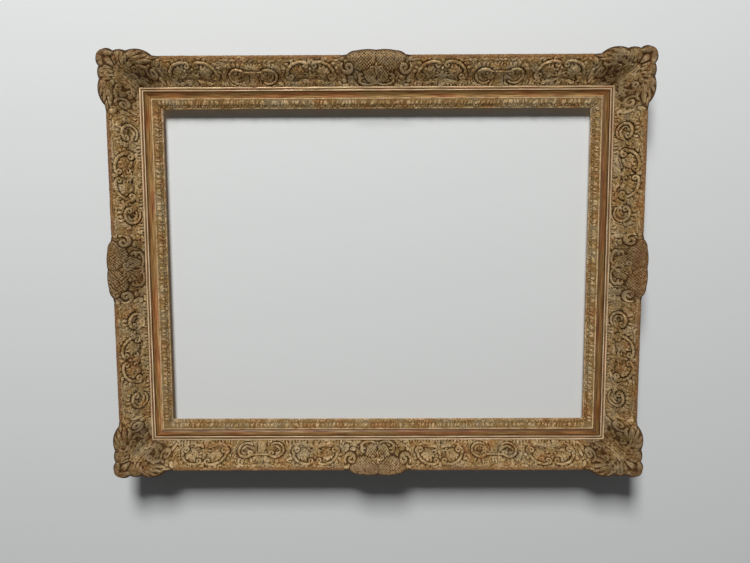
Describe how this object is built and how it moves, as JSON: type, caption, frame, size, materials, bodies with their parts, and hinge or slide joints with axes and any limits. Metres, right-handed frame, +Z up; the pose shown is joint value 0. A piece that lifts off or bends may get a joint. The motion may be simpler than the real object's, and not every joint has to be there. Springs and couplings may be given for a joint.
{
  "type": "carved picture frame",
  "caption": "Rectangular carved and gilded picture frame with corner and centre cartouches, a stepped section rising to the outer edge, a rebate at the back, turn buttons and ring hangers.",
  "frame": {"origin": "centre of the sight opening on the wall plane, which is the plane of the rails' back lands", "axes": "+X to the right seen from the front, +Z up, +Y backwards into the wall, so the front faces -Y"},
  "size_m": [0.8794, 0.0696, 0.6954],
  "materials": {
    "patinated_gilding": "worn water gilding under a grey-brown wash, satin on the high points",
    "worn_bole": "gilding rubbed back to the red-brown bole, satin",
    "bare_wood": "aged bare softwood",
    "brass": "dulled",
    "steel": "dull plated"
  },
  "bodies": {
    "frame": {"bottom_centre_cartouche": "patinated_gilding", "bottom_hollow_moulding": "worn_bole", "bottom_left_carved_run": "patinated_gilding", "bottom_left_corner_cartouche": "patinated_gilding", "bottom_left_mitre_key": "bare_wood", "bottom_rail": "bare_wood", "bottom_right_carved_run": "patinated_gilding", "bottom_right_corner_cartouche": "patinated_gilding", "bottom_right_mitre_key": "bare_wood", "bottom_sight_moulding": "patinated_gilding", "hanger_screws": "steel", "left_centre_cartouche": "patinated_gilding", "left_hanger_strap": "steel", "left_hollow_moulding": "worn_bole", "left_lower_carved_run": "patinated_gilding", "left_rail": "bare_wood", "left_sight_moulding": "patinated_gilding", "left_upper_carved_run": "patinated_gilding", "right_centre_cartouche": "patinated_gilding", "right_hanger_strap": "steel", "right_hollow_moulding": "worn_bole", "right_lower_carved_run": "patinated_gilding", "right_rail": "bare_wood", "right_sight_moulding": "patinated_gilding", "right_upper_carved_run": "patinated_gilding", "top_centre_cartouche": "patinated_gilding", "top_hollow_moulding": "worn_bole", "top_left_carved_run": "patinated_gilding", "top_left_corner_cartouche": "patinated_gilding", "top_left_mitre_key": "bare_wood", "top_rail": "bare_wood", "top_right_carved_run": "patinated_gilding", "top_right_corner_cartouche": "patinated_gilding", "top_right_mitre_key": "bare_wood", "top_sight_moulding": "patinated_gilding", "turn_button_screws": "steel"},
    "left_ring": {"left_hanger_ring": "steel"},
    "right_ring": {"right_hanger_ring": "steel"},
    "top_left_button": {"top_left_turn_button": "brass"},
    "top_right_button": {"top_right_turn_button": "brass"},
    "bottom_left_button": {"bottom_left_turn_button": "brass"},
    "bottom_right_button": {"bottom_right_turn_button": "brass"},
    "left_button": {"left_turn_button": "brass"},
    "right_button": {"right_turn_button": "brass"}
  },
  "joints": [
    {"name": "left_ring_swing", "type": "hinge", "parent": "frame", "child": "left_ring", "pos_m": [-0.381, -0.00205, 0.165], "axis": [1, 0, 0], "range_deg": [0, 180]},
    {"name": "right_ring_swing", "type": "hinge", "parent": "frame", "child": "right_ring", "pos_m": [0.381, -0.00205, 0.165], "axis": [1, 0, 0], "range_deg": [0, 180]},
    {"name": "top_left_button_turn", "type": "hinge", "parent": "frame", "child": "top_left_button", "pos_m": [-0.19936, -0.0036, 0.284], "axis": [0, 1, 0], "continuous": true},
    {"name": "top_right_button_turn", "type": "hinge", "parent": "frame", "child": "top_right_button", "pos_m": [0.19936, -0.0036, 0.284], "axis": [0, 1, 0], "continuous": true},
    {"name": "bottom_left_button_turn", "type": "hinge", "parent": "frame", "child": "bottom_left_button", "pos_m": [-0.19936, -0.0036, -0.284], "axis": [0, 1, 0], "continuous": true},
    {"name": "bottom_right_button_turn", "type": "hinge", "parent": "frame", "child": "bottom_right_button", "pos_m": [0.19936, -0.0036, -0.284], "axis": [0, 1, 0], "continuous": true},
    {"name": "left_button_turn", "type": "hinge", "parent": "frame", "child": "left_button", "pos_m": [-0.376, -0.0036, 0], "axis": [0, 1, 0], "continuous": true},
    {"name": "right_button_turn", "type": "hinge", "parent": "frame", "child": "right_button", "pos_m": [0.376, -0.0036, 0], "axis": [0, 1, 0], "continuous": true}
  ]
}
